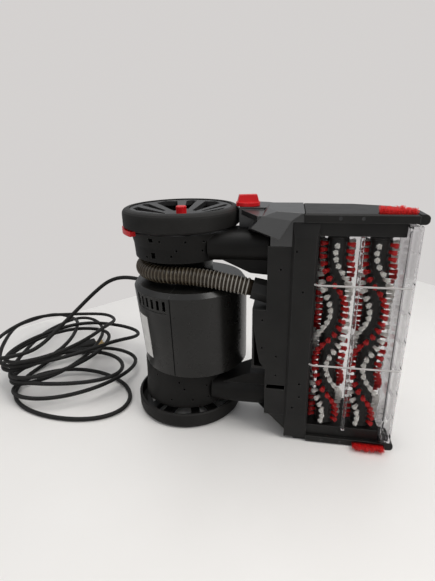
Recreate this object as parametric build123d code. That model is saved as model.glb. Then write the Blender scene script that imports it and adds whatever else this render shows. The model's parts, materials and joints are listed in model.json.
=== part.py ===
import math
import os

from build123d import *

# Floor unit of an upright carpet cleaner, lying on its side. Millimetres.
# X runs forward to the nozzle, -Y is the sole's side, Z is up, along the wheels' axle.
# Shapes are drawn with the axle at x = y = 0 and the floor at z = 0.
# Heights named in pairs are measured from the middle plane, half way between the wheels.

# Whole unit
WHEEL_R = 86.0
WHEEL_W = 26.0
HALF_W = 168.0
WHEEL_OUT = {"upper": 164.5, "lower": HALF_W}
MID_Z = HALF_W
WALL = 3.0
GAP = 0.4
RUN_FIT = 0.05

# Foot
SOLE_Y = -82.0
SOLE_TOP = SOLE_Y + WALL
FOOT_REAR_X = 114.0
STEP_X = 133.0
STEP_Z = (39.0, -52.0)
STRIP_X = (163.0, 195.0)
WALL_X = STRIP_X[1] - 2 * WALL
STRIP_Y = -86.0
STRIP_FLAT = (-122.0, 139.0)
STRIP_END = (-163.0, 156.6)
HOOD_TOP_Y = 4.0
HOOD_HALF = 126.0
BAY_HALF = 140.0
CHEEK_HALF = 157.0
CHEEK_WALL = 6.0
COVER_X = (176.0, 306.0)
COVER_Y = -84.0
LIP_Y = -88.0
FRONT_X = 316.5
NOZZLE_X = (296.5, 311.0)
NOZZLE_HALF = 154.0
NOZZLE_TOP_Y = -46.0
GUARD_Y = -88.2
GUARD_R = 1.3
GUARD_Z = (79.0, -36.0)

# Brush rolls and their drive
ROLL_X = (220.0, 271.0)
ROLL_Y = -61.5
ROLL_TIP_R = 24.1
CORE_R = 13.5
SLEEVE_T = 1.5
JOURNAL_R = 5.0
BUSH_R = 8.0
PULLEY_R = 10.0
MOTOR_PULLEY_R = 7.0
MOTOR_XY = (160.0, -40.0)
SHAFT_R = 3.0
BELT_T = 2.0
BELT_FIT = 0.3
BELT_Z = (148.0, 155.0)
TUFT_ROWS = 6
TUFTS_PER_ROW = 24
TUFT_REACH = 129.0
TUFT_SWING = math.radians(60)
TUFT_HALF_WAVE = 80.0
TUFT_PHASE = {"rear": math.radians(48), "front": math.radians(40)}
TUFT_ROOT_W = 4.2
TUFT_TIP_W = 6.0

# Edge brushes
EDGE_X = (261.0, 304.0)
EDGE_Y = -78.0
EDGE_HALF_Y = 4.5
EDGE_DEPTH = 6.0
EDGE_REACH = 10.0
EDGE_SWEEP = 16.0
EDGE_PER_ROW = 26
EDGE_STRAND_W = 1.0
SCREW_R = 2.0

# Barrel and yokes
BARREL_TOP = (10.0, 87.0, 56.0)
BARREL_EDGE = (5.0, 7.0)
BARREL_LOW = (15.0, 82.0, -76.0)
BARREL_X = 12.0
NECK_R = 45.0
NECK_BORE_R = 38.0
TRUNNION_R = 58.0
TRUNNION_Z = (97.0, 120.0)
RING_R = {"upper": (71.0, 77.0), "lower": (70.0, 73.0)}
RING_OUT = {"upper": 134.5, "lower": 138.0}
RING_IN = {"upper": 95.5, "lower": 79.0}
DRAIN_R = 1.7
HOLE_L = 24.0
HOLE_START = 5.0
ARM_X = (50.0, STEP_X - GAP)
ARM_Y = (-58.0, 0.0)
ARM_Z = (95.0, 136.0)
WEB_Z = (126.0, 131.0)
BOSS_R = 13.0
BOSS_IN = 122.0
AXLE_R = 4.0
HUB_IN = {"upper": 138.4, "lower": 138.5}
SOCKET_R = 32.0
SOCKET_BORE_R = 24.0
SOCKET_Y = (70.0, 140.0)
SOCKET_DEPTH = 55.0
VENT_ANGLE = 238.0
VENT_SLOTS = 6
LABEL_ANGLE = 223.0

# Suction hose
HOSE_R = 12.8
HOSE_VALLEY_R = 11.2
HOSE_BORE_R = 9.6
HOSE_WRAP_R = 60.0
HOSE_LEAD = 14.0
HOSE_RIBS = 42
HOSE_Z = (76.0, 62.0)
HOSE_START = math.radians(172)
HOSE_EASE = 10.0
CUFF_X = (112.0, STEP_X - GAP)
CUFF_R = (16.0, 17.0)
PORT_R = 13.0
PORT_L = 20.0
HOSE_WRAP = HOSE_WRAP_R * (1.5 * math.pi - HOSE_START)
HOSE_L = HOSE_LEAD + HOSE_WRAP + CUFF_X[0]

# Pedal and knob
PEDAL_ANGLES = (196.0, 231.0)
PEDAL_R = (79.0, 87.5)
PEDAL_LOW_Z = 131.0
PEDAL_PLATE_Z = (135.1, 137.9)
KNOB_XY = (99.0, 0.0)
KNOB_R = 17.0
KNOB_STEM_R = 5.0
KNOB_SEAT_Z = 165.0

# Cord
CORD_D = 7.0
GLAND_R = 8.0
GLAND_DIR = Vector(-0.87, 0.49, 0).normalized()
GLAND_AT = Vector(BARREL_X, 0, MID_Z + 24) + GLAND_DIR * 85
GLAND_L = 34.0
HEAP_TIE = (-312.0, -46.0)
# Lead-in, loops from the top down, and tail: direction in degrees, half length and half width
HEAP_LOOPS = [
    (150, 110, 62), (80, 138, 74), (52, 126, 70), (108, 146, 72), (66, 104, 64),
    (20, 96, 62), (94, 150, 76), (36, 110, 66), (2, 106, 74), (66, 84, 62),
]
LOOP_COUNT = len(HEAP_LOOPS) - 2
LAYER_STEP = 8.7
STEP_TURNS = 0.24
LAST_STEP = 0.28
SAG = 0.45
SAG_R = (170.0, 290.0)
TAIL_TURNS = 0.36
LIFT_TURNS = 0.16
PLUG_Z = 12.2
PLUG_L = 34.0
PLUG_W = 22.0
PIN_L = 17.0
CORD_LEAD_OUT = 38.0
CORD_LEAD_IN = 42.0
CORD_ROUTE = [(-166, 81, 184), (-196, 67, 160), (-221, 44, 134), (-242, 18, 112)]

parts = {}


def zc(height):
    """Height above the floor of a height from the middle plane."""
    return MID_Z + height


def prism_x(points, x0, x1):
    outline = Polyline(*[(x0, y, z) for y, z in points], close=True)
    return extrude(make_face(outline), amount=x1 - x0, dir=(1, 0, 0))


def prism_y(points, y0, y1):
    outline = Polyline(*[(x, y0, z) for x, z in points], close=True)
    return extrude(make_face(outline), amount=y1 - y0, dir=(0, 1, 0))


def prism_z(points, z0, z1):
    outline = Polyline(*[(x, y, z0) for x, y in points], close=True)
    return extrude(make_face(outline), amount=z1 - z0, dir=(0, 0, 1))


def block(x0, x1, y0, y1, z0, z1):
    box = Box(x1 - x0, y1 - y0, z1 - z0)
    return Pos((x0 + x1) / 2, (y0 + y1) / 2, (z0 + z1) / 2) * box


def rod_x(y, z, radius, x0, x1):
    return Pos((x0 + x1) / 2, y, z) * Rot(0, 90, 0) * Cylinder(radius, x1 - x0)


def rod_y(x, z, radius, y0, y1):
    return Pos(x, (y0 + y1) / 2, z) * Rot(90, 0, 0) * Cylinder(radius, y1 - y0)


def rod_z(x, y, radius, z0, z1):
    return Pos(x, y, (z0 + z1) / 2) * Cylinder(radius, z1 - z0)


def turned(points):
    """Solid of revolution about the axle from (radius, height) points."""
    outline = Polyline(*[(r, 0, z) for r, z in points], close=True)
    return revolve(make_face(outline), Axis.Z)


def flipped(shape):
    return mirror(shape, about=Plane.XY.offset(MID_Z))


def on_side(side, shape):
    """A shape drawn for the upper side, put on the side that is named."""
    return shape if side == "upper" else flipped(shape)


def pair(name, shape):
    for side in ("upper", "lower"):
        parts[f"{name}_{side}"] = on_side(side, shape)


# Wheels: hollow tyre, dished rim with forked spokes, red hub cap, and a clip on the stub axle
def build_wheels():
    for side, out in WHEEL_OUT.items():
        for name, shape in wheel_shapes(zc(out), zc(HUB_IN[side])).items():
            parts[f"{name}_{side}"] = on_side(side, shape)


def wheel_shapes(z_out, hub_in):
    z_in = z_out - WHEEL_W
    lip_r = 75.0
    tread_r = WHEEL_R - 4
    shoulder = 7.0
    corner = []
    for angle in (90, 65, 40, 15, 0):
        a = math.radians(angle)
        corner.append((WHEEL_R - shoulder * (1 - math.sin(a)), z_out - shoulder * (1 - math.cos(a))))
    foot = [(tread_r, z_in), (WHEEL_R - 2, z_in), (WHEEL_R, z_in + 2)]
    tyre = turned([*foot, *corner, (lip_r, z_out), (lip_r, z_out - 4), (tread_r, z_out - 7)])

    hub_r = 12.0
    hub_face = z_out - 12
    bore = AXLE_R + RUN_FIT
    rim = turned([(bore, hub_in), (hub_r, hub_in), (hub_r, z_in + 5), (lip_r, z_out - 8),
                  (lip_r, z_out - 1.5), (lip_r - 6, z_out - 1.5), (18, hub_face), (bore, hub_face)])
    spacing = 72
    fork_gap = [(30, -3.2), (66, -8.5), (70, 0), (66, 8.5), (30, 3.2)]
    wide_gap = [(24, -4.0), (64, -18), (70, 0), (64, 18), (24, 4.0)]
    gaps = []
    for i in range(5):
        gaps.append(Rot(0, 0, i * spacing + 90) * prism_z(fork_gap, z_in - 5, z_out + 5))
        gaps.append(Rot(0, 0, (i + 0.5) * spacing + 90) * prism_z(wide_gap, z_in - 5, z_out + 5))

    clip_r = 6.0
    clip_z = (hub_face + GAP, hub_face + GAP + 1.2)
    clip = rod_z(0, 0, clip_r, *clip_z) - rod_z(0, 0, AXLE_R, *clip_z)
    head = rod_z(0, 0, 9, zc(BOSS_IN - 4), zc(BOSS_IN))
    stub = head + rod_z(0, 0, AXLE_R, zc(BOSS_IN), clip_z[1] + 1.2)

    cap_r = 7.8
    cap_in = clip_r + GAP
    cap_top = z_out - 0.6
    cap = turned([(cap_in, hub_face), (cap_r, hub_face), (cap_r, cap_top - 1), (cap_r - 1, cap_top),
                  (0, cap_top), (0, cap_top - 1.5), (cap_in, cap_top - 1.5)])
    clip -= block(-2, 2, 0, clip_r, *clip_z)
    return {"tyre": tyre, "rim": rim - gaps, "hub_cap": cap, "axle_clip": clip, "axle_stub": stub}


# Yokes: a grooved ring that carries the wheel and the barrel's trunnion, and an arm to the foot
def build_yokes():
    for side in ("upper", "lower"):
        inside = rod_z(0, 0, RING_R[side][0] - 2, zc(ARM_Z[0] - 20), zc(HALF_W))
        yoke = ring_shape(side) + (arm_shape() - inside)
        yoke -= drain_holes(side)
        if side == "upper":
            yoke -= square_holes()
        parts[f"yoke_{side}"] = on_side(side, yoke)


def ring_shape(side):
    bore = TRUNNION_R + GAP
    ring_in, ring_out = RING_IN[side], RING_OUT[side]
    r_in, r_out = RING_R[side]
    groove_r = (bore + 4, r_in - 4)
    waist = (r_in + 0.2 * (r_out - r_in), zc((ring_in + ring_out) / 2))
    return turned([(bore, zc(ring_in)), (r_in, zc(ring_in)), waist, (r_out, zc(ring_out)),
                   (r_out - 4, zc(ring_out)), (groove_r[1], zc(ring_in + 4)), (groove_r[0], zc(ring_in + 4)),
                   (groove_r[0], zc(WEB_Z[1])), (BOSS_R, zc(WEB_Z[1])), (BOSS_R, zc(ring_out)),
                   (AXLE_R, zc(ring_out)), (AXLE_R, zc(BOSS_IN)), (BOSS_R, zc(BOSS_IN)),
                   (BOSS_R, zc(WEB_Z[0])), (bore, zc(WEB_Z[0]))])


def arm_shape():
    arm = block(*ARM_X, *ARM_Y, zc(ARM_Z[0]), zc(ARM_Z[1]))
    arm = fillet(arm.edges().filter_by(Axis.X).group_by(Axis.Y)[0], 19)
    flange = [(66, ARM_Z[0] + 4), (ARM_X[1], ARM_Z[0] + 4), (ARM_X[1], 78), (108, 80)]
    return arm + prism_y([(x, zc(z)) for x, z in flange], -50, -6)


def on_ring(side, angle, share):
    """The middle of a hole through the ring's outer wall, part of the way up it, with X pointing out."""
    height = RING_IN[side] + share * (RING_OUT[side] - RING_IN[side])
    reach = RING_R[side][0] - HOLE_START + HOLE_L / 2
    return Rot(0, 0, angle) * Pos(reach, 0, zc(height))


def drain_holes(side):
    spots = [(240, 0.17), (261, 0.8), (272, 0.26), (278, 0.46), (288, 0.78), (307, 0.42), (308, 0.76)]
    hole = Rot(0, 90, 0) * Cylinder(DRAIN_R, HOLE_L)
    return [on_ring(side, angle, share) * hole for angle, share in spots]


def square_holes():
    heights = [(0.25, 9), (0.82, 6)]
    return [on_ring("upper", 250, share) * Box(HOLE_L, 7, height) for share, height in heights]


# Release pedal: a lever on the axle between yoke and wheel, with a curved pad outside the ring
def build_pedal():
    pad_z = (zc(PEDAL_LOW_Z), zc(PEDAL_PLATE_Z[1]))
    plate_z = (zc(PEDAL_PLATE_Z[0]), zc(PEDAL_PLATE_Z[1]))
    middle = sum(PEDAL_ANGLES) / 2
    reach = 2 * PEDAL_R[1]
    wedge = [(0, 0)]
    for angle in (PEDAL_ANGLES[0], middle, PEDAL_ANGLES[1]):
        a = math.radians(angle)
        wedge.append((reach * math.cos(a), reach * math.sin(a)))
    pad = rod_z(0, 0, PEDAL_R[1], *pad_z) - rod_z(0, 0, PEDAL_R[0], *pad_z)
    pad &= prism_z(wedge, *pad_z)
    lever = rod_z(0, 0, BOSS_R - 2, *plate_z)
    lever += Rot(0, 0, middle) * block(0, PEDAL_R[0] + 2, -9, 9, *plate_z)
    parts["release_pedal"] = pad + lever - rod_z(0, 0, AXLE_R + RUN_FIT, *plate_z)


# Foot: hood, crossbar with the raised strip, sole plate, shoulder covers, cheeks, side covers and bumpers
def build_hood():
    top = [(FOOT_REAR_X, -14), (122, 2), (150, 8), (STRIP_X[1], HOOD_TOP_Y)]
    under = [(FOOT_REAR_X + WALL, -16), (124, -1), (150, 5), (WALL_X, 1)]
    outer = [(FOOT_REAR_X, SOLE_TOP), *top, (STRIP_X[1], SOLE_TOP)]
    inner = [(FOOT_REAR_X + WALL, SOLE_TOP), *under, (WALL_X, SOLE_TOP)]
    hood = prism_z(outer, zc(-HOOD_HALF), zc(HOOD_HALF)) - rear_corners(0)
    hood -= prism_z(inner, zc(-HOOD_HALF + WALL), zc(HOOD_HALF - WALL)) - rear_corners(WALL)
    hood -= block(WALL_X, STRIP_X[1], SOLE_TOP, 1, zc(-HOOD_HALF), zc(HOOD_HALF))
    hood -= rod_z(*MOTOR_XY, SHAFT_R + 2, zc(HOOD_HALF - WALL), zc(HOOD_HALF))
    parts["hood_shell"] = hood - cuff_plane() * Cylinder(HOSE_BORE_R, 4 * CUFF_R[1])


def rear_corners(grow):
    """The room behind the foot's two stepped-back corners."""
    across = (0, STEP_X + grow, -HALF_W, HALF_W)
    upper = block(*across, zc(STEP_Z[0] - grow), zc(HALF_W))
    return upper + block(*across, zc(-HALF_W), zc(STEP_Z[1] + grow))


def cuff_plane():
    """Where the hose ends and its cuff begins, with Z along the hose."""
    return hose_plane(HOSE_L)


def build_crossbar():
    strip = block(*STRIP_X, STRIP_Y, SOLE_TOP, zc(STRIP_END[0]), zc(STRIP_END[1]))
    strip = chamfer(strip.edges().filter_by(Axis.Z).group_by(Axis.Y)[0], 3)
    for flat, end in zip(STRIP_FLAT, STRIP_END):
        strip -= prism_x([(STRIP_Y, zc(flat)), (SOLE_Y, zc(end)), (STRIP_Y, zc(end))], *STRIP_X)
    crossbar = strip + block(WALL_X, STRIP_X[1], SOLE_TOP, 1, zc(-HOOD_HALF), zc(HOOD_HALF))
    spots = [(173, -109), (182, -90), (181, -69), (179, 68), (169, 121)]
    holes = [rod_y(x, zc(z), 1.8, STRIP_Y, STRIP_Y + 3) for x, z in spots]
    parts["bay_crossbar"] = crossbar - holes


def build_sole():
    rear = [(STEP_X, HOOD_HALF), (STEP_X, STEP_Z[0]), (FOOT_REAR_X + 0.5, STEP_Z[0])]
    curve = [(117, 9.5), (121.5, -23), (125, -40)]
    corners = [(STRIP_X[0], HOOD_HALF), *rear, *curve, (STEP_X, STEP_Z[1]), (STEP_X, -HOOD_HALF)]
    corners.append((STRIP_X[0], -HOOD_HALF))
    sole = prism_y([(x, zc(z)) for x, z in corners], SOLE_Y, SOLE_TOP)
    slot = block(STEP_X + 2, STRIP_X[0] - 2, SOLE_Y, SOLE_TOP, zc(-83), zc(-76))
    spots = [(128, -18), (148, -30), (128, 24), (150, 96), (148, -60)]
    holes = [rod_y(x, zc(z), 1.4, SOLE_Y, SOLE_TOP) for x, z in spots]
    parts["sole_plate"] = sole - slot - holes


def build_shoulders():
    inner = HOOD_HALF + 0.5
    x1 = COVER_X[0]
    arm_room = block(*ARM_X, ARM_Y[0] - GAP, ARM_Y[1] + GAP, zc(inner), zc(ARM_Z[1] + GAP))
    strip_room = block(STRIP_X[0], x1, SOLE_Y, SOLE_TOP, zc(inner), zc(HALF_W))
    sole_line = [(140, inner), (152, 138.5), (163, 150), (173, 160), (x1, 163), (x1, inner)]
    wide_line = [(114, inner), (123, 138), (132, 148), (150, HALF_W), (x1, HALF_W), (x1, inner)]
    top_line = [(112, inner), (118, 138), (128, 150), (146, HALF_W - 3), (x1, HALF_W - 3), (x1, inner)]
    faces = []
    for y, line in ((SOLE_Y, sole_line), (-44, wide_line), (2, top_line)):
        faces.append(make_face(Polyline(*[(x, y, zc(z)) for x, z in line], close=True)))
    plain = loft(faces[:2], ruled=True) + loft(faces[1:], ruled=True)
    parts["shoulder_cover_lower"] = flipped(plain - strip_room - arm_room)

    top_z = HALF_W + 1
    cover = block(FOOT_REAR_X - 26, x1, SOLE_Y, 2, zc(inner), zc(top_z))
    cover -= block(STRIP_X[0], x1, SOLE_Y, SOLE_TOP, zc(inner), zc(CHEEK_HALF))
    lip_line = [(147, 136), (161.2, 159.6), (170.3, 166), (x1, top_z), (120, top_z), (120, inner)]
    cover += prism_y([(x, zc(z)) for x, z in lip_line], LIP_Y, SOLE_Y)
    for facet in belt_cover_facets():
        cover -= facet * Pos(0, 0, HALF_W) * Box(4 * HALF_W, 4 * HALF_W, 2 * HALF_W)
    cover += prism_z([(92, -18), (118, -70), (125, -70), (140, -50), (140, -18)], zc(155), zc(162))
    cover += block(STEP_X + WALL, STRIP_X[0], SOLE_Y, SOLE_TOP, zc(inner), zc(inner + 15))
    seat_line = [(WHEEL_R + 2.5, -18), (WHEEL_R + 2.5, 20), (104, 44), (128, 36), (165, 2), (122, -18)]
    cover += prism_z(seat_line, zc(inner), zc(KNOB_SEAT_Z))
    cover -= rod_z(*KNOB_XY, KNOB_R + 1, zc(KNOB_SEAT_Z), zc(HALF_W + 2))
    belt_room = block(140, x1, -62, -18, zc(BELT_Z[0] - 2), zc(BELT_Z[1] + 5))
    shaft_hole = rod_z(*MOTOR_XY, SHAFT_R + 2, zc(inner), zc(BELT_Z[0]))
    knob_hole = rod_z(*KNOB_XY, KNOB_STEM_R + RUN_FIT, zc(150), zc(HALF_W))
    parts["shoulder_cover_upper"] = cover - arm_room - belt_room - shaft_hole - knob_hole


def belt_cover_facets():
    """Planes of the upper cover's five facets, each through three corners and facing out."""
    low, left = (147, LIP_Y, 136), (110.3, -70, 146)
    crease_left, crease_right = (124.6, -72, 162), (161.2, LIP_Y, 159.6)
    top_left, top_right = (143.5, -73.6, 169.5), (178, LIP_Y, 171)
    knob_side, behind, under = (100, 0, KNOB_SEAT_Z), (110.3, 0, 146), (100, 0, 127)
    corners = [(low, left, crease_right), (crease_right, top_right, crease_left),
               (crease_left, top_left, knob_side), (left, crease_left, behind), (low, left, under)]
    inside = Vector(160, -30, zc(145))
    planes = []
    for corner in corners:
        a, b, c = [Vector(x, y, zc(z)) for x, y, z in corner]
        facing = (b - a).cross(c - a)
        if facing.dot(inside - a) > 0:
            facing = facing * -1
        planes.append(Plane(a, z_dir=facing))
    return planes


def build_cheeks():
    x0 = COVER_X[0]
    front_x = NOZZLE_X[0] - 1
    top = [(front_x, -42), (285, -18), (240, 0), (STRIP_X[1], HOOD_TOP_Y), (x0, HOOD_TOP_Y)]
    outline = [(x0, SOLE_TOP), (front_x, SOLE_TOP), *top]
    hollow = [(x0, -76), (front_x - 3, -76), (front_x - 3, -43), (282, -21), (240, -3), (x0, 1)]
    cheek = prism_z(outline, zc(BAY_HALF), zc(CHEEK_HALF))
    cheek -= prism_z(hollow, zc(BAY_HALF + CHEEK_WALL), zc(CHEEK_HALF))
    corner = [(x0, SOLE_TOP), (WALL_X, SOLE_TOP), (WALL_X, 1), (x0, HOOD_TOP_Y)]
    cheek += prism_z(corner, zc(HOOD_HALF + 0.5), zc(BAY_HALF))
    bushes = []
    for x in ROLL_X:
        seat = rod_z(x, ROLL_Y, BUSH_R, zc(BAY_HALF), zc(BAY_HALF + CHEEK_WALL))
        cheek -= seat
        bush = seat - rod_z(x, ROLL_Y, JOURNAL_R + RUN_FIT, zc(BAY_HALF), zc(BAY_HALF + CHEEK_WALL))
        bushes += [bush, flipped(bush)]
    pair("cheek", cheek)
    parts["roll_bushes"] = Compound(bushes)


def build_side_covers():
    x0, x1 = COVER_X
    outline = [(x0, COVER_Y), (x1, COVER_Y), (x1, -50), (287, -16), (242, 2), (x0, 6)]
    cover = prism_z(outline, zc(CHEEK_HALF), zc(HALF_W))
    cover = chamfer(cover.edges().filter_by(Plane.XY).group_by(Axis.Z)[-1], 2)
    slot_x = (EDGE_X[0] - GAP, EDGE_X[1] + GAP)
    cover -= block(*slot_x, EDGE_Y - EDGE_HALF_Y, EDGE_Y + EDGE_HALF_Y, zc(HALF_W - EDGE_DEPTH), zc(HALF_W))
    heads = []
    for place in screw_places():
        cover -= place * Cylinder(SCREW_R, 3)
        head = place * (Pos(0, 0, -1) * Cylinder(SCREW_R, 1) - Box(2 * SCREW_R, 0.8, 2))
        heads += [head, flipped(head)]
    parts["cover_screws"] = Compound(heads)
    parts["side_cover_upper"] = cover
    open_side = block(*slot_x, COVER_Y, EDGE_Y, zc(-HALF_W), zc(2 - HALF_W + EDGE_DEPTH))
    open_side += block(x0, STRIP_X[1], COVER_Y, SOLE_TOP, zc(-HALF_W), zc(-CHEEK_HALF))
    parts["side_cover_lower"] = flipped(cover) - open_side

    bumper = block(x1, FRONT_X, COVER_Y, -50, zc(CHEEK_HALF - 1), zc(HALF_W))
    pair("bumper", fillet(bumper.edges().filter_by(Axis.Y).group_by(Axis.X)[-1], 5))


def screw_places():
    """Places on the upper cover's front face, with Z out of it."""
    middle = zc((CHEEK_HALF + HALF_W) / 2)
    return [Plane((x, COVER_Y, middle), x_dir=(1, 0, 0), z_dir=(0, -1, 0)) for x in (218, 244)]


# Clear parts: hood window over the rolls, two nozzle walls, the rib between the rolls and two guard bars
def build_clear_parts():
    z_span = (zc(-BAY_HALF), zc(BAY_HALF))
    tip_x = 302.0
    x0, x1 = NOZZLE_X
    outer = [(STRIP_X[1], HOOD_TOP_Y), (240, 0), (285, -18), (tip_x, NOZZLE_TOP_Y)]
    inner = [(x0 + 2, NOZZLE_TOP_Y), (283, -20.5), (239, -3), (STRIP_X[1], 1)]
    parts["hood_window"] = prism_z(outer + inner, *z_span)

    lip_y = NOZZLE_TOP_Y + 8
    nozzle_z = (zc(-NOZZLE_HALF), zc(NOZZLE_HALF))
    front = block(x1 - WALL, x1, STRIP_Y, lip_y, *nozzle_z)
    front += block(tip_x + GAP, x1, NOZZLE_TOP_Y + GAP, lip_y, *nozzle_z)
    fin_x = (x1 - WALL - 3, x1 - WALL)
    front += [block(*fin_x, SOLE_Y + 4, NOZZLE_TOP_Y, zc(z) - 1, zc(z) + 1) for z in range(-120, 121, 40)]
    end = block(x0 + WALL, x1, STRIP_Y, NOZZLE_TOP_Y, zc(NOZZLE_HALF - WALL), zc(NOZZLE_HALF))
    parts["nozzle_front"] = front + [end, flipped(end)]
    parts["nozzle_rear"] = block(x0, x0 + WALL, STRIP_Y, NOZZLE_TOP_Y, *nozzle_z)

    rib_x = sum(ROLL_X) / 2
    parts["mid_rib"] = block(rib_x - 2.2, rib_x + 2.2, STRIP_Y, STRIP_Y + 6, *z_span)
    bars = []
    for height in GUARD_Z:
        corners = [(STRIP_X[1] - 3, STRIP_Y + 2), (STRIP_X[1] + 2, GUARD_Y), (x1 - 4, GUARD_Y)]
        corners.append((x1 - 1.5, STRIP_Y + 2))
        route = FilletPolyline(*[(x, y, zc(height)) for x, y in corners], radius=2)
        bar = sweep(Plane(route @ 0, z_dir=route % 0) * Circle(GUARD_R), route)
        bars.append(bar - parts["bay_crossbar"] - parts["nozzle_front"] - parts["mid_rib"])
    parts["guard_bars"] = Compound(bars)


# Bristles: tapered four-sided strands
def strand(root, tip, root_w, tip_w):
    along = (Vector(*tip) - Vector(*root)).normalized()
    root_face = Plane(root, z_dir=along) * Rectangle(root_w, root_w)
    tip_face = Plane(tip, z_dir=along) * Rectangle(tip_w, tip_w)
    return loft([root_face, tip_face], ruled=True)


# Edge brushes: the upper one stands free, the lower one is bent forward of the sole by the floor
def build_edge_brushes():
    pitch = (EDGE_X[1] - EDGE_X[0] - 3) / EDGE_PER_ROW
    row_y = 2.2
    for name, sign in (("upper", 1), ("lower", -1)):
        z0, z1 = sorted((zc(sign * (HALF_W - EDGE_DEPTH)), zc(sign * (HALF_W - 3))))
        backing = block(*EDGE_X, EDGE_Y - EDGE_HALF_Y, EDGE_Y + EDGE_HALF_Y, z0, z1)
        strands = []
        for i in range(EDGE_PER_ROW):
            for row in (-1, 1):
                x = EDGE_X[0] + 1.5 + pitch * (i + 0.5 + 0.25 * row)
                y = EDGE_Y + row * row_y
                sway = 0.5 * math.sin(7 * i)
                root = (x, y, zc(HALF_W - 4))
                tip = (x + sway, y + row, zc(HALF_W + EDGE_REACH))
                if name == "lower":
                    root = (x, y, 4.5 - 0.7 * row)
                    tip = (x + 0.6 * sway, y - EDGE_SWEEP, 4.8 - 3.6 * row)
                strands.append(strand(root, tip, EDGE_STRAND_W, EDGE_STRAND_W))
        parts[f"edge_brush_{name}"] = backing + strands


# Brush rolls: a core on journals with a belt pulley, and a sleeve of tufts in wavy rows
def tuft_angle(height):
    """A row swings one way, back and on again along the roll."""
    return TUFT_SWING * math.sin(math.pi * height / TUFT_HALF_WAVE)


def build_rolls():
    pitch = 2 * TUFT_REACH / (TUFTS_PER_ROW - 1)
    root_r = CORE_R - 0.8
    for name, x in zip(("rear", "front"), ROLL_X):
        core = rod_z(x, ROLL_Y, CORE_R - SLEEVE_T, zc(1 - BAY_HALF), zc(BAY_HALF - 1))
        core += rod_z(x, ROLL_Y, JOURNAL_R, zc(-BAY_HALF - CHEEK_WALL), zc(BELT_Z[1] + 1))
        parts[f"roll_core_{name}"] = core + rod_z(x, ROLL_Y, PULLEY_R, zc(BELT_Z[0]), zc(BELT_Z[1]))
        sleeve_z = (zc(2 - BAY_HALF), zc(BAY_HALF - 2))
        sleeve = rod_z(x, ROLL_Y, CORE_R, *sleeve_z) - rod_z(x, ROLL_Y, CORE_R - SLEEVE_T, *sleeve_z)
        tufts = []
        for row in range(TUFT_ROWS):
            for i in range(TUFTS_PER_ROW):
                height = -TUFT_REACH + i * pitch
                turn = TUFT_PHASE[name] + math.tau * row / TUFT_ROWS + tuft_angle(height)
                across, down = math.sin(turn), -math.cos(turn)
                root = (x + root_r * across, ROLL_Y + root_r * down, zc(height))
                tip = (x + ROLL_TIP_R * across, ROLL_Y + ROLL_TIP_R * down, zc(height))
                tufts.append(strand(root, tip, TUFT_ROOT_W, TUFT_TIP_W))
        parts[f"roll_bristles_{name}"] = sleeve + tufts


# Inside the foot: brush motor, its pulley, the belt, the pump and the spray bar
def belt_face(grow):
    z = zc(BELT_Z[0] + 0.5)
    circles = [Pos(*MOTOR_XY, z) * Circle(MOTOR_PULLEY_R + BELT_FIT + grow)]
    circles += [Pos(x, ROLL_Y, z) * Circle(PULLEY_R + BELT_FIT + grow) for x in ROLL_X]
    return make_hull([edge for circle in circles for edge in circle.edges()])


def build_drive():
    motor_z = (40.0, 112.0)
    nose_z = (motor_z[1], motor_z[1] + 5)
    motor = rod_z(*MOTOR_XY, 23, zc(motor_z[0]), zc(motor_z[1]))
    motor += rod_z(*MOTOR_XY, 10, zc(nose_z[0]), zc(nose_z[1]))
    parts["brush_motor"] = motor - rod_z(*MOTOR_XY, SHAFT_R + RUN_FIT, zc(80), zc(nose_z[1]))
    pulley = rod_z(*MOTOR_XY, MOTOR_PULLEY_R, zc(BELT_Z[0]), zc(BELT_Z[1]))
    parts["motor_pulley"] = pulley + rod_z(*MOTOR_XY, SHAFT_R, zc(84), zc(BELT_Z[0]))
    belt_w = BELT_Z[1] - BELT_Z[0] - 1
    parts["drive_belt"] = extrude(belt_face(BELT_T), belt_w) - extrude(belt_face(0), belt_w)
    parts["pump"] = block(134, 176, -60, -26, zc(-30), zc(20)) + rod_z(155, -43, 12, zc(20), zc(36))
    bar_x, bar_y = 203.0, -8.0
    bar = rod_z(bar_x, bar_y, 5, zc(-BAY_HALF), zc(BAY_HALF))
    tips = [Pos(bar_x, bar_y - 6, zc(z)) * Rot(90, 0, 0) * Cone(3.5, 1.5, 8) for z in (-90, -30, 30, 90)]
    parts["spray_bar"] = bar + tips


# Barrel: two shells round the suction motor and its fan, with the socket for the upright
def barrel_body(inset):
    x_top, r_top, z_top = BARREL_TOP
    x_low, r_low, z_low = BARREL_LOW
    low = Pos(x_low, 0, zc(z_low + inset)) * Circle(r_low - inset)
    edge = Pos(x_top, 0, zc(z_top - BARREL_EDGE[1])) * Circle(r_top - inset)
    top = Pos(x_top, 0, zc(z_top - inset)) * Circle(r_top - BARREL_EDGE[0] - inset)
    return loft([low, edge], ruled=True) + loft([edge, top], ruled=True)


def wall_window(angle, width, z0, z1):
    """A box that reaches through the barrel's wall at an angle round its axis."""
    place = Pos(BARREL_X, 0, zc((z0 + z1) / 2)) * Rot(0, 0, angle) * Pos(80, 0, 0)
    return place * Box(60, width, z1 - z0)


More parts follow.
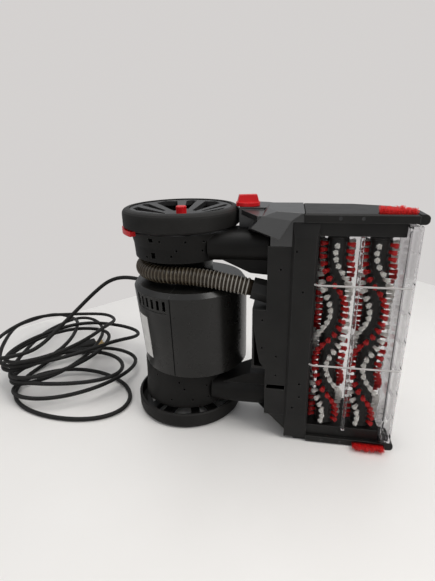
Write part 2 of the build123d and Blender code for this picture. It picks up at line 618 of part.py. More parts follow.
def build_barrel():
    z_top, z_low = BARREL_TOP[2], BARREL_LOW[2]
    outer = barrel_body(0) + rod_z(0, 0, NECK_R, zc(z_top), zc(TRUNNION_Z[0]))
    outer += rod_z(0, 0, TRUNNION_R, zc(TRUNNION_Z[0]), zc(TRUNNION_Z[1]))
    outer += rod_z(0, 0, TRUNNION_R, zc(-TRUNNION_Z[1]), zc(z_low))
    outer -= rod_z(0, 0, NECK_BORE_R, zc(z_top - 10), zc(TRUNNION_Z[1]))
    outer -= rod_z(0, 0, NECK_BORE_R, zc(-TRUNNION_Z[1]), zc(z_low + 10))
    shell = outer - barrel_body(WALL) - rod_y(BARREL_X, MID_Z, SOCKET_R, 50, SOCKET_Y[1])
    shell -= Plane(GLAND_AT, z_dir=GLAND_DIR) * Cylinder(GLAND_R, 40)
    reach = 2 * MID_Z
    parts["barrel_front_shell"] = shell & block(0, reach, -reach, reach, 0, reach)
    rear = shell & block(-reach, 0, -reach, reach, 0, reach)
    vent_z = (25.0, 48.0)
    vent_w = 60.0
    parts["barrel_rear_shell"] = rear - wall_window(VENT_ANGLE, vent_w, *vent_z)

    grille = barrel_body(0.8) - barrel_body(WALL + 1)
    grille &= wall_window(VENT_ANGLE, vent_w - GAP, vent_z[0] + GAP / 2, vent_z[1] - GAP / 2)
    slot_step = 7.0
    for i in range(VENT_SLOTS):
        angle = VENT_ANGLE + slot_step * (i - (VENT_SLOTS - 1) / 2)
        grille -= wall_window(angle, 5, vent_z[0] + 4, vent_z[1] - 4)
    parts["vent_grille"] = grille
    label = barrel_body(-0.6) - barrel_body(0)
    parts["label_plate"] = label & wall_window(LABEL_ANGLE, 26, -57, 12)

    collar_r = SOCKET_R + 4
    mouth_y = SOCKET_Y[1]
    socket = rod_y(BARREL_X, MID_Z, SOCKET_R, *SOCKET_Y)
    socket += rod_y(BARREL_X, MID_Z, collar_r, mouth_y - 10, mouth_y)
    parts["neck_socket"] = socket - rod_y(BARREL_X, MID_Z, SOCKET_BORE_R, mouth_y - SOCKET_DEPTH, mouth_y)

    motor_z = (-66.0, -2.0)
    fan_shaft_r = 4.0
    motor = rod_z(BARREL_X, 0, 46, zc(motor_z[0]), zc(motor_z[1]))
    parts["suction_motor"] = motor - rod_z(BARREL_X, 0, fan_shaft_r + RUN_FIT, zc(-20), zc(motor_z[1]))
    plate_z = (14.0, 17.0)
    blades = 9
    fan = rod_z(BARREL_X, 0, 58, zc(plate_z[0]), zc(plate_z[1]))
    fan += rod_z(BARREL_X, 0, fan_shaft_r, zc(-16), zc(plate_z[0]))
    for i in range(blades):
        blade = Pos(36, 0, zc(plate_z[1] + 7)) * Rot(0, 0, 30) * Box(36, 2, 14.2)
        fan += Pos(BARREL_X, 0, 0) * Rot(0, 0, i * 360 / blades) * blade
    parts["suction_fan"] = fan


# Suction hose: a ribbed tube from a port on the barrel's neck, round the neck and on to a cuff on the foot
def hose_plane(distance):
    """A place along the hose: straight out of its port, round the neck, then forward and down to the cuff."""
    along_wrap = distance - HOSE_LEAD
    straight = along_wrap - HOSE_WRAP
    fall_l = CUFF_X[0] + HOSE_EASE
    share = max(0.0, (straight + HOSE_EASE) / fall_l)
    drop = HOSE_Z[1] - HOSE_Z[0]
    z = zc(HOSE_Z[0] + drop * share ** 2)
    slope = 2 * drop * share / fall_l
    if straight > 0:
        return Plane((straight, -HOSE_WRAP_R, z), x_dir=(0, 0, 1), z_dir=(1, 0, slope))
    a = HOSE_START + max(0.0, along_wrap) / HOSE_WRAP_R
    back = min(0.0, along_wrap)
    x = HOSE_WRAP_R * math.cos(a) - back * math.sin(a)
    y = HOSE_WRAP_R * math.sin(a) + back * math.cos(a)
    return Plane((x, y, z), x_dir=(0, 0, 1), z_dir=(-math.sin(a), math.cos(a), slope))


def build_hose():
    plain = 4.0
    pitch = (HOSE_L - 2 * plain) / HOSE_RIBS
    shape = ((0.0, HOSE_VALLEY_R), (0.3, HOSE_R), (0.6, HOSE_R), (0.9, HOSE_VALLEY_R))
    rings = [hose_plane(0) * Circle(HOSE_VALLEY_R)]
    for i in range(HOSE_RIBS):
        rings += [hose_plane(plain + (i + share) * pitch) * Circle(radius) for share, radius in shape]
    rings.append(hose_plane(HOSE_L) * Circle(HOSE_VALLEY_R))
    steps = 48
    bore = loft([hose_plane(HOSE_L * i / steps) * Circle(HOSE_BORE_R) for i in range(steps + 1)], ruled=True)
    parts["suction_hose"] = loft(rings, ruled=True) - bore

    cuff_l = (CUFF_X[1] - CUFF_X[0]) * 1.3
    ends = [cuff_plane() * Pos(0, 0, z) * RegularPolygon(radius, 8) for z, radius in zip((0, cuff_l), CUFF_R)]
    cuff = loft(ends, ruled=True) - cuff_plane() * Cylinder(HOSE_BORE_R, 4 * cuff_l)
    parts["hose_cuff"] = cuff & block(0, CUFF_X[1], -HALF_W, 0, MID_Z, 2 * MID_Z)
    rise = HOSE_Z[0] - BARREL_TOP[2]
    middle = hose_plane(0) * Pos(0, 0, -PORT_L / 2)
    port = middle * Cylinder(PORT_R, PORT_L) + middle * Pos(-rise / 2, 0, 0) * Box(rise, 1.6 * PORT_R, PORT_L)
    parts["hose_port"] = port - middle * Cylinder(HOSE_BORE_R, PORT_L)


# Mode knob in the upper shoulder cover
def build_knob():
    z0 = zc(KNOB_SEAT_Z) + 0.3
    disc_t = 5.0
    knob = rod_z(*KNOB_XY, KNOB_R, z0, z0 + disc_t) + rod_z(*KNOB_XY, KNOB_STEM_R, zc(152), z0)
    place = Pos(*KNOB_XY, z0 + disc_t) * Rot(0, 0, 12)
    grip = loft([place * Rectangle(30, 15), place * Pos(0, 0, 10) * Rectangle(25, 11)], ruled=True)
    parts["mode_knob"] = knob + grip


# Cord: gland on the barrel, a run that falls to the heap, loops that fan out from one place, and the plug
def eased(share):
    share = min(1.0, max(0.0, share))
    return share * share * (3 - 2 * share)


def loop_value(turn, which):
    """A loop has its own values half a turn in, and they ease into those of the next loop."""
    place = turn + 0.5
    i = min(math.floor(place), len(HEAP_LOOPS) - 2)
    here = HEAP_LOOPS[i][which]
    return here + (HEAP_LOOPS[i + 1][which] - here) * eased(place - i)


def loop_height(turn, reach):
    """Each loop lies a layer under the one before and sags far from the tie. The tail rises to the plug."""
    floor_z = CORD_D / 2 + 0.1
    steps = [*range(LOOP_COUNT), LOOP_COUNT - 1 + LAST_STEP]
    layer = sum(eased((step - turn) / STEP_TURNS + 0.5) for step in steps)
    sag = 1 - SAG * eased((reach - SAG_R[0]) / (SAG_R[1] - SAG_R[0]))
    lift = eased((turn - LOOP_COUNT - TAIL_TURNS) / LIFT_TURNS + 1)
    return floor_z + LAYER_STEP * layer * sag + (PLUG_Z - floor_z) * lift


def heap_point(turn):
    """Loops are long ovals that all pass through the tie."""
    aim = math.radians(loop_value(turn, 0))
    along = loop_value(turn, 1) * (1 - math.cos(math.tau * turn))
    aside = loop_value(turn, 2) * math.sin(math.tau * turn)
    x = HEAP_TIE[0] + along * math.cos(aim) - aside * math.sin(aim)
    y = HEAP_TIE[1] + along * math.sin(aim) + aside * math.cos(aim)
    return Vector(x, y, loop_height(turn, math.hypot(along, aside)))


def heap_heading(turn):
    nudge = 0.002
    return (heap_point(turn + nudge) - heap_point(turn - nudge)).normalized()


def biarc(start, heading, end, end_heading):
    """Two arcs that join two points with the given headings."""
    chord = end - start
    both = heading + end_heading
    a = both.dot(both) - 4
    b = -2 * chord.dot(both)
    c = chord.dot(chord)
    reach = (-b - math.sqrt(b * b - 4 * a * c)) / (2 * a)
    if reach < 0:
        reach = (-b + math.sqrt(b * b - 4 * a * c)) / (2 * a)
    joint = (start + end + (heading - end_heading) * reach) * 0.5
    first = TangentArc(start, joint, tangent=heading)
    return [first, TangentArc(joint, end, tangent=first % 1)]


def heap_path():
    quarter = 0.25
    last_turn = LOOP_COUNT + TAIL_TURNS
    turns = [i * quarter for i in range(int(last_turn / quarter))] + [last_turn]
    first = heap_point(turns[0])
    last = heap_point(turns[-1])
    edges = [Line(first - heap_heading(turns[0]) * CORD_D, first)]
    for a, b in zip(turns, turns[1:]):
        edges += biarc(heap_point(a), heap_heading(a), heap_point(b), heap_heading(b))
    edges.append(Line(last, last + heap_heading(turns[-1]) * CORD_D))
    return edges


def least_gap(edges):
    """Least clear distance of the heap's tube to itself, on points along it."""
    spacing = 3.0
    points = []
    place = 0.0
    for edge in edges:
        count = max(1, round(edge.length / spacing))
        points += [(place + edge.length * i / count, edge @ (i / count)) for i in range(count)]
        place += edge.length
    least = place
    for i, (here, p) in enumerate(points):
        for there, q in points[i + 1:]:
            if there - here > 6 * CORD_D:
                least = min(least, (p - q).length)
    return least - CORD_D


def build_cord():
    gland = Plane(GLAND_AT, z_dir=GLAND_DIR)
    body = gland * Pos(0, 0, -2) * Cylinder(GLAND_R, 12)
    taper = gland * Pos(0, 0, GLAND_L / 2 + 2) * Cone(GLAND_R, 5.0, GLAND_L - 4)
    parts["cord_gland"] = body + taper

    heap = heap_path()
    joint = heap[0] @ 0
    lead_out = [GLAND_AT + GLAND_DIR * GLAND_L, GLAND_AT + GLAND_DIR * (GLAND_L + CORD_LEAD_OUT)]
    lead_in = [joint - (heap[0] % 0) * CORD_LEAD_IN, joint]
    route = lead_out + [Vector(*p) for p in CORD_ROUTE] + lead_in
    radii = []
    for a, b, c in zip(route, route[1:], route[2:]):
        turn = math.radians((b - a).get_angle(c - b))
        radii.append(0.45 * min((b - a).length, (c - b).length) / math.tan(turn / 2))
    run = FilletPolyline(*route, radius=radii)
    section = math.pi * CORD_D ** 2 / 4
    tube = sweep(Plane(run @ 0, z_dir=run % 0) * Circle(CORD_D / 2), run)
    parts["cord_run"] = tube
    print("run radii", [round(r) for r in radii], "length", round(run.length))
    print("run volume", round(tube.volume), "section times length", round(section * run.length))

    path = Wire(heap)
    coil = sweep(Plane(path @ 0, z_dir=path % 0) * Circle(CORD_D / 2), path)
    parts["cord_heap"] = coil
    print("heap length", round(path.length), "least gap", round(least_gap(heap), 2))
    print("heap volume", round(coil.volume), "section times length", round(section * path.length))

    end = Plane(path @ 1, x_dir=(0, 0, 1), z_dir=path % 1)
    taper_l = 16.0
    relief = end * Pos(0, 0, taper_l / 2) * Cone(4.6, 7.5, taper_l)
    grip = fillet(Box(PLUG_W, PLUG_W + 4, PLUG_L).edges().filter_by(Axis.Z), 7)
    parts["plug_body"] = relief + end * Pos(0, 0, taper_l + PLUG_L / 2) * grip
    blades = [end * Pos(0, y, taper_l + PLUG_L + PIN_L / 2) * Box(6.3, 1.5, PIN_L) for y in (-6.35, 6.35)]
    parts["plug_blades"] = Compound(blades)


def main():
    os.makedirs("parts", exist_ok=True)
    build_wheels()
    build_yokes()
    build_pedal()
    build_hood()
    build_crossbar()
    build_sole()
    build_shoulders()
    build_cheeks()
    build_side_covers()
    build_clear_parts()
    build_edge_brushes()
    build_rolls()
    build_drive()
    build_barrel()
    build_hose()
    build_knob()
    build_cord()
    cord = ("cord_gland", "cord_run", "cord_heap", "plug_body", "plug_blades")
    unit = Compound([shape for name, shape in parts.items() if name not in cord])
    middle = unit.bounding_box().center()
    for name, shape in parts.items():
        export_step(Pos(-middle.X, -middle.Y, 0) * shape, f"parts/{name}.step")
    print("nodes", len(parts), "axle at", round(-middle.X, 4), round(-middle.Y, 4))


main()
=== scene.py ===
import json
import math
import random

import bpy
from mathutils import Matrix, Vector


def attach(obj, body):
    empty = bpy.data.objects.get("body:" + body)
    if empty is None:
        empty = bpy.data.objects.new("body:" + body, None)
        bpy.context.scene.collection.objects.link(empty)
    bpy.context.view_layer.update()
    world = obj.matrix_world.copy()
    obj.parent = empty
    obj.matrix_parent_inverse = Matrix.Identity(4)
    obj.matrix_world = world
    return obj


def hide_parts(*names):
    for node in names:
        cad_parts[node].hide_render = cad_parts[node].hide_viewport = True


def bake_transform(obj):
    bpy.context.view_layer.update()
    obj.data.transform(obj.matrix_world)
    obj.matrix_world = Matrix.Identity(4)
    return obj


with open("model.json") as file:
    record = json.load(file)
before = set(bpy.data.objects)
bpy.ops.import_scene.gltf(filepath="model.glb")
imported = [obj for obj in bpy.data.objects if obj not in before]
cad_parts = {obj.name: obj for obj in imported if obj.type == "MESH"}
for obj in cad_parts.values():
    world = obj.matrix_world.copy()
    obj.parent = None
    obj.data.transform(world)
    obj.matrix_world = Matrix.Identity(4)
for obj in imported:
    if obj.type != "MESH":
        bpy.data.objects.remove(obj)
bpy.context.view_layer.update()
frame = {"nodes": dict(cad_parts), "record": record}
nodes = frame["nodes"]

# Frame: places are given in millimetres from the axle, with heights from the floor, as the solids are drawn
AXLE = (-115.25, -21.8465)
MID_Z = 168.0
UP = Vector((0, 0, 1))


def at(x, y, z):
    return Vector(((x + AXLE[0]) / 1000, (y + AXLE[1]) / 1000, z / 1000))


def zc(height):
    return MID_Z + height


# Camera, fitted to the photograph of 435 by 581 pixels: focal length in pixels, angles in radians
FOCAL_PX = 394.23
IMAGE_H = 581
SENSOR_MM = 36
YAW, PITCH, ROLL = -0.18625, 0.35539, -0.02146
CAMERA_PLACE = at(159.0, -568.24, zc(247.75))
CLIP_START = 0.02


def add_camera():
    forward = Vector((math.sin(YAW) * math.cos(PITCH), math.cos(YAW) * math.cos(PITCH), -math.sin(PITCH)))
    level = Vector((math.cos(YAW), -math.sin(YAW), 0))
    upright = level.cross(forward)
    right = level * math.cos(ROLL) + upright * math.sin(ROLL)
    up = upright * math.cos(ROLL) - level * math.sin(ROLL)
    place = Matrix((right, up, -forward)).transposed().to_4x4()
    place.translation = CAMERA_PLACE
    data = bpy.data.cameras.new("camera")
    data.sensor_width = SENSOR_MM
    data.lens = FOCAL_PX * SENSOR_MM / IMAGE_H
    data.clip_start = CLIP_START
    camera = bpy.data.objects.new("camera", data)
    camera.matrix_world = place
    bpy.context.scene.collection.objects.link(camera)
    bpy.context.scene.camera = camera


add_camera()

# Material helpers. The mix node has several sockets of one name, so those for colours are found by number
MIX_FACTOR, MIX_A, MIX_B, MIX_RESULT = 0, 6, 7, 2
CORNER_R = 0.0011
FLAT_TURN, SHARP_TURN = 0.995, 0.8
HOSE_PALE_X = (20, 112)


def shader(name):
    material = bpy.data.materials.new(name)
    material.use_nodes = True
    return material, material.node_tree, material.node_tree.nodes["Principled BSDF"]


def add(tree, kind, inputs=None, **props):
    """Adds a node; an input is a socket to link or a value to set."""
    made = tree.nodes.new(kind)
    for key, value in props.items():
        setattr(made, key, value)
    for key, value in (inputs or {}).items():
        feed(tree, made.inputs[key], value)
    return made


def feed(tree, socket, value):
    if isinstance(value, bpy.types.NodeSocket):
        tree.links.new(value, socket)
    else:
        socket.default_value = value


def maths(tree, operation, a, b):
    return add(tree, "ShaderNodeMath", {0: a, 1: b}, operation=operation).outputs[0]


def noise(tree, scale, detail=3.0, rough=0.55):
    place = add(tree, "ShaderNodeTexCoord").outputs["Object"]
    return add(tree, "ShaderNodeTexNoise", {"Vector": place, "Scale": scale, "Detail": detail,
                                            "Roughness": rough}).outputs["Fac"]


def ramp(tree, fac, dark, light, low=0.3, high=0.7):
    """Colour from dark to light as fac goes from low to high."""
    made = add(tree, "ShaderNodeValToRGB", {"Fac": fac})
    made.color_ramp.elements[0].position = low
    made.color_ramp.elements[0].color = (*dark, 1)
    made.color_ramp.elements[1].position = high
    made.color_ramp.elements[1].color = (*light, 1)
    return made.outputs["Color"]


def scaled(tree, fac, low, high):
    """Goes from low to high as fac goes from 0 to 1."""
    return add(tree, "ShaderNodeMapRange", {"Value": fac, "To Min": low, "To Max": high}).outputs["Result"]


def share_between(tree, value, start, end):
    """Goes from 0 to 1 as the value goes from start to end."""
    made = add(tree, "ShaderNodeMapRange", {"Value": value, "From Min": start, "From Max": end})
    return made.outputs["Result"]


def mixed(tree, fac, a, b):
    made = add(tree, "ShaderNodeMix", data_type="RGBA")
    feed(tree, made.inputs[MIX_FACTOR], fac)
    feed(tree, made.inputs[MIX_A], a)
    feed(tree, made.inputs[MIX_B], b)
    return made.outputs[MIX_RESULT]


def bump(tree, height, strength, distance, normal=None):
    made = add(tree, "ShaderNodeBump", {"Height": height, "Strength": strength, "Distance": distance})
    if normal is not None:
        tree.links.new(normal, made.inputs["Normal"])
    return made.outputs["Normal"]


def edge_mask(tree):
    """A mask near 1 on corners, where a rounded normal turns from the true one, and the rounded normal."""
    soft = add(tree, "ShaderNodeBevel", {"Radius": CORNER_R}, samples=6).outputs["Normal"]
    true = add(tree, "ShaderNodeNewGeometry").outputs["Normal"]
    turn = add(tree, "ShaderNodeVectorMath", {0: soft, 1: true}, operation="DOT_PRODUCT").outputs["Value"]
    return share_between(tree, turn, FLAT_TURN, SHARP_TURN), soft


# Materials
def moulded(name, dark, light, rough=(0.35, 0.55), grain_depth=0.25, edge_wear_and_highlight=(0.1, 0.1, 0.097), shine=0.5):
    """Moulded plastic: cloudy tone, fine spark-eroded grain, soft corners painted paler: rubbed wear, and on
    the rims a painted highlight.
    """
    material, tree, bsdf = shader(name)
    corner, soft = edge_mask(tree)
    tone = ramp(tree, noise(tree, scale=24, detail=5), dark, light, high=0.72)
    corner_wear_and_highlight = maths(tree, "MULTIPLY", corner, noise(tree, scale=170, detail=4))
    grain = noise(tree, scale=2600, detail=2)
    feed(tree, bsdf.inputs["Base Color"], mixed(tree, corner_wear_and_highlight, tone, (*edge_wear_and_highlight, 1)))
    feed(tree, bsdf.inputs["Roughness"], scaled(tree, noise(tree, scale=55, detail=6), *rough))
    feed(tree, bsdf.inputs["Normal"], bump(tree, grain, strength=grain_depth, distance=0.00006, normal=soft))
    bsdf.inputs["Specular IOR Level"].default_value = shine
    return material


def metal(name, dark, light, rough):
    """Drawn metal: fine streaks along the height."""
    material, tree, bsdf = shader(name)
    place = add(tree, "ShaderNodeTexCoord").outputs["Object"]
    drawn = add(tree, "ShaderNodeMapping", {"Vector": place, "Scale": (900, 900, 40)}).outputs["Vector"]
    streak = add(tree, "ShaderNodeTexNoise", {"Vector": drawn, "Scale": 1.0, "Detail": 3}).outputs["Fac"]
    feed(tree, bsdf.inputs["Base Color"], ramp(tree, streak, dark, light))
    feed(tree, bsdf.inputs["Roughness"], scaled(tree, streak, *rough))
    feed(tree, bsdf.inputs["Normal"], bump(tree, streak, strength=0.2, distance=0.00005))
    bsdf.inputs["Metallic"].default_value = 1.0
    return material


def clear_plastic(name, dark, light, ior, rough, clear):
    material, tree, bsdf = shader(name)
    haze = noise(tree, scale=40, detail=4)
    ripple = noise(tree, scale=60, detail=2)
    feed(tree, bsdf.inputs["Base Color"], ramp(tree, haze, dark, light))
    feed(tree, bsdf.inputs["Roughness"], scaled(tree, haze, *rough))
    feed(tree, bsdf.inputs["Normal"], bump(tree, ripple, strength=0.01, distance=0.0003))
    bsdf.inputs["Transmission Weight"].default_value = clear
    bsdf.inputs["IOR"].default_value = ior
    return material


def bristle(name, dark, light, sheen):
    """Filaments: tone differs from strand to strand, with a sheen along them if there is any."""
    material, tree, bsdf = shader(name)
    island = add(tree, "ShaderNodeNewGeometry").outputs["Random Per Island"]
    grain = noise(tree, scale=2500, detail=2)
    feed(tree, bsdf.inputs["Base Color"], ramp(tree, island, dark, light, low=0.0, high=1.0))
    feed(tree, bsdf.inputs["Roughness"], scaled(tree, noise(tree, scale=900, detail=2), 0.35, 0.6))
    feed(tree, bsdf.inputs["Normal"], bump(tree, grain, strength=0.2, distance=0.0001))
    bsdf.inputs["Sheen Weight"].default_value = sheen
    return material


def rubber(name, dark, light, grain_scale, grain_depth):
    """Rubber: cloudy tone with specks of dust."""
    material, tree, bsdf = shader(name)
    dust = noise(tree, scale=420, detail=4, rough=0.7)
    dust_tone = (0.2, 0.19, 0.18, 1)
    tone = ramp(tree, noise(tree, scale=30, detail=5), dark, light)
    speck = share_between(tree, dust, 0.68, 0.78)
    grain = noise(tree, scale=grain_scale, detail=3)
    feed(tree, bsdf.inputs["Base Color"], mixed(tree, speck, tone, dust_tone))
    feed(tree, bsdf.inputs["Roughness"], scaled(tree, dust, 0.5, 0.75))
    feed(tree, bsdf.inputs["Normal"], bump(tree, grain, strength=grain_depth, distance=0.0002))
    bsdf.inputs["Specular IOR Level"].default_value = 0.2
    return material


def hose_plastic():
    """Smoky translucent hose: the ribs' crowns are smoky brown by the barrel and pale near the foot, which is
    painted light; the valleys are dark brown, which is painted shade between the ribs.
    """
    material, tree, bsdf = shader("hose_plastic")
    crown = add(tree, "ShaderNodeAttribute", attribute_name="crown").outputs["Fac"]
    smoky = ramp(tree, noise(tree, scale=60, detail=4), (0.08, 0.064, 0.043), (0.17, 0.145, 0.105))
    place = add(tree, "ShaderNodeTexCoord").outputs["Object"]
    forward = add(tree, "ShaderNodeSeparateXYZ", {"Vector": place}).outputs["X"]
    lit_toward_foot = share_between(tree, forward, *[at(x, 0, 0).x for x in HOSE_PALE_X])
    pale = mixed(tree, lit_toward_foot, smoky, (0.46, 0.44, 0.4, 1))
    valley_shade = ramp(tree, noise(tree, scale=45, detail=4), (0.012, 0.008, 0.004), (0.045, 0.031, 0.019))
    grain = noise(tree, scale=700, detail=3)
    feed(tree, bsdf.inputs["Base Color"], mixed(tree, share_between(tree, crown, 0.72, 1.0), valley_shade, pale))
    feed(tree, bsdf.inputs["Roughness"], scaled(tree, noise(tree, scale=130, detail=3), 0.3, 0.48))
    feed(tree, bsdf.inputs["Normal"], bump(tree, grain, strength=0.15, distance=0.0002))
    bsdf.inputs["Transmission Weight"].default_value = 0.15
    bsdf.inputs["IOR"].default_value = 1.33
    return material


def paper_label():
    material, tree, bsdf = shader("blank_label")
    fibre = noise(tree, scale=1500, detail=3)
    tone = ramp(tree, noise(tree, scale=90, detail=4), (0.62, 0.61, 0.59), (0.74, 0.73, 0.71))
    feed(tree, bsdf.inputs["Base Color"], tone)
    feed(tree, bsdf.inputs["Roughness"], scaled(tree, noise(tree, scale=300, detail=3), 0.4, 0.6))
    feed(tree, bsdf.inputs["Normal"], bump(tree, fibre, strength=0.1, distance=0.0001))
    return material


BLACK = moulded("black_plastic", (0.0045, 0.0042, 0.0039), (0.0095, 0.009, 0.0083), rough=(0.4, 0.6),
                shine=0.25)
COVER_BLACK = moulded("cover_plastic", (0.0055, 0.0056, 0.0058), (0.011, 0.0112, 0.0115), rough=(0.3, 0.42),
                      grain_depth=0.12, shine=0.9)
BARREL_BLACK = moulded("barrel_plastic", (0.008, 0.0077, 0.007), (0.013, 0.0126, 0.0116), rough=(0.24, 0.32),
                       grain_depth=0.06, shine=0.3)
YOKE_GREY = moulded("yoke_plastic", (0.0045, 0.0041, 0.0037), (0.0085, 0.008, 0.0074), rough=(0.42, 0.56),
                    grain_depth=0.3, shine=0.15)
# Near-black painted shade, for the strip in the barrel's joint groove.
SEAM_SHADOW = moulded("seam_shadow", (0.0012, 0.0012, 0.0011), (0.0022, 0.0021, 0.002), rough=(0.8, 0.9),
               edge_wear_and_highlight=(0.003, 0.003, 0.003), shine=0.05)
# Rim grey: its pale corner tone is a painted highlight along the spoke edges, over a darkened base.
RIM_GREY = moulded("rim_plastic", (0.009, 0.009, 0.0095), (0.018, 0.018, 0.0185), edge_wear_and_highlight=(0.16, 0.16, 0.16))
RED = moulded("red_plastic", (0.5, 0.004, 0.008), (0.64, 0.008, 0.012), rough=(0.25, 0.4),
              edge_wear_and_highlight=(0.75, 0.07, 0.07), shine=0.3)
PALE = moulded("pale_plastic", (0.5, 0.5, 0.5), (0.62, 0.62, 0.62), edge_wear_and_highlight=(0.75, 0.75, 0.75))
MOTOR_GREY = moulded("motor_paint", (0.08, 0.08, 0.085), (0.13, 0.13, 0.135), edge_wear_and_highlight=(0.4, 0.4, 0.4))
TYRE = rubber("tyre_rubber", (0.0065, 0.006, 0.0055), (0.0125, 0.0118, 0.011), grain_scale=1400,
              grain_depth=0.35)
BELT = rubber("belt_rubber", (0.01, 0.01, 0.01), (0.02, 0.02, 0.02), grain_scale=900, grain_depth=0.5)
CORD = rubber("cord_rubber", (0.007, 0.0067, 0.0064), (0.014, 0.0136, 0.013), grain_scale=2200,
              grain_depth=0.2)
STEEL = metal("steel", (0.42, 0.42, 0.43), (0.6, 0.6, 0.61), rough=(0.25, 0.4))
SCREW_BLACK = metal("blackened_steel", (0.04, 0.04, 0.042), (0.09, 0.09, 0.092), rough=(0.35, 0.5))
ALUMINIUM = metal("aluminium", (0.55, 0.55, 0.56), (0.7, 0.7, 0.71), rough=(0.3, 0.45))
BRASS = metal("brass", (0.55, 0.38, 0.16), (0.72, 0.54, 0.28), rough=(0.2, 0.35))
CLEAR = clear_plastic("clear_plastic", (0.72, 0.71, 0.72), (0.79, 0.785, 0.79), ior=1.22, rough=(0.01, 0.035),
                      clear=0.97)
MILKY_BAR = clear_plastic("milky_bar_plastic", (0.5, 0.48, 0.47), (0.62, 0.6, 0.59), ior=1.5,
                          rough=(0.15, 0.25), clear=0.2)
WHITE_BRISTLE = bristle("white_bristle", (0.6, 0.58, 0.54), (0.86, 0.85, 0.82), sheen=0.15)
RED_BRISTLE = bristle("red_bristle", (0.3, 0.004, 0.005), (0.6, 0.012, 0.012), sheen=0.0)
EDGE_BRISTLE = bristle("edge_bristle", (0.48, 0.005, 0.006), (0.85, 0.018, 0.016), sheen=0.0)
HOSE = hose_plastic()
LABEL = paper_label()

LOOKS = {
    "tyre": TYRE, "grey_plastic": RIM_GREY, "red_plastic": RED, "steel": STEEL,
    "dark_grey_plastic": YOKE_GREY, "black_plastic": BLACK, "clear_plastic": CLEAR,
    "red_bristle": EDGE_BRISTLE, "roll_bristle": WHITE_BRISTLE, "hose": HOSE, "label": LABEL, "brass": BRASS,
    "motor": MOTOR_GREY, "aluminium": ALUMINIUM, "belt": BELT, "pale_plastic": PALE, "cord": CORD,
}
OWN_LOOKS = {
    "barrel_front_shell": BARREL_BLACK, "barrel_rear_shell": BARREL_BLACK, "vent_grille": BARREL_BLACK,
    "shoulder_cover_upper": COVER_BLACK, "guard_bars": MILKY_BAR, "cover_screws": SCREW_BLACK,
    # The lower rim takes the black plastic instead of the rim grey: painted shade, because it lies in shade
    # against the table.
    "rim_lower": BLACK,
}
for part in frame["record"]["subparts"]:
    mesh = nodes[part["node"]].data
    mesh.materials.clear()
    mesh.materials.append(OWN_LOOKS.get(part["node"], LOOKS[part["material_slot"]]))


# Cord: the run from the gland and loose loops that fan out from one place, one smooth line.
# A loop has its aim in degrees, half its length and half its width
CORD_D = 7.0
RUN = [(-166, 81, 184), (-196, 67, 160), (-221, 44, 134), (-242, 18, 112)]
BARREL_X = 12
GLAND_Z = 24
GLAND_REACH = 119
GLAND_DIR = Vector((-0.87, 0.49, 0)).normalized()
GLAND_TIP = Vector((BARREL_X, 0, zc(GLAND_Z))) + GLAND_DIR * GLAND_REACH
GLAND_LEAD = 38
HEAP_LEAD = 42
HEAP_TIE = (-312.0, -46.0)
HEAP_LOOPS = [
    (150, 110, 62), (80, 138, 74), (52, 126, 70), (108, 146, 72), (66, 104, 64),
    (20, 96, 62), (94, 150, 76), (36, 110, 66), (2, 106, 74), (66, 84, 62),
]
LOOP_COUNT = len(HEAP_LOOPS) - 2
POINTS_PER_TURN = 24
LAYER_STEP = 8.7
LAYER_SPAN = 0.24
LAST_LAYER = LOOP_COUNT - 0.72
SAG = 0.45
SAG_START = 170
SAG_SPAN = 120
TAIL_TURNS = 0.36
TAIL_SPAN = 0.16
PLUG_Z = 12.2


def eased(share):
    share = min(1.0, max(0.0, share))
    return share * share * (3 - 2 * share)


def loop_value(turn, which):
    place = turn + 0.5
    i = min(math.floor(place), len(HEAP_LOOPS) - 2)
    here = HEAP_LOOPS[i][which]
    return here + (HEAP_LOOPS[i + 1][which] - here) * eased(place - i)


def loop_height(turn, reach):
    """Each loop lies a layer under the one before and sags far from the tie. The tail rises to the plug."""
    floor_z = CORD_D / 2 + 0.1
    layer = sum(eased((step - turn) / LAYER_SPAN + 0.5) for step in [*range(LOOP_COUNT), LAST_LAYER])
    sag = 1 - SAG * eased((reach - SAG_START) / SAG_SPAN)
    lift = eased((turn - LOOP_COUNT - TAIL_TURNS) / TAIL_SPAN + 1)
    return floor_z + LAYER_STEP * layer * sag + (PLUG_Z - floor_z) * lift


def heap_point(turn):
    """Loops are long ovals that all pass through the tie."""
    aim = math.radians(loop_value(turn, 0))
    along = loop_value(turn, 1) * (1 - math.cos(math.tau * turn))
    aside = loop_value(turn, 2) * math.sin(math.tau * turn)
    x = HEAP_TIE[0] + along * math.cos(aim) - aside * math.sin(aim)
    y = HEAP_TIE[1] + along * math.sin(aim) + aside * math.cos(aim)
    return Vector((x, y, loop_height(turn, math.hypot(along, aside))))


def heap_heading(turn):
    step = 0.002
    return (heap_point(turn + step) - heap_point(turn - step)).normalized()


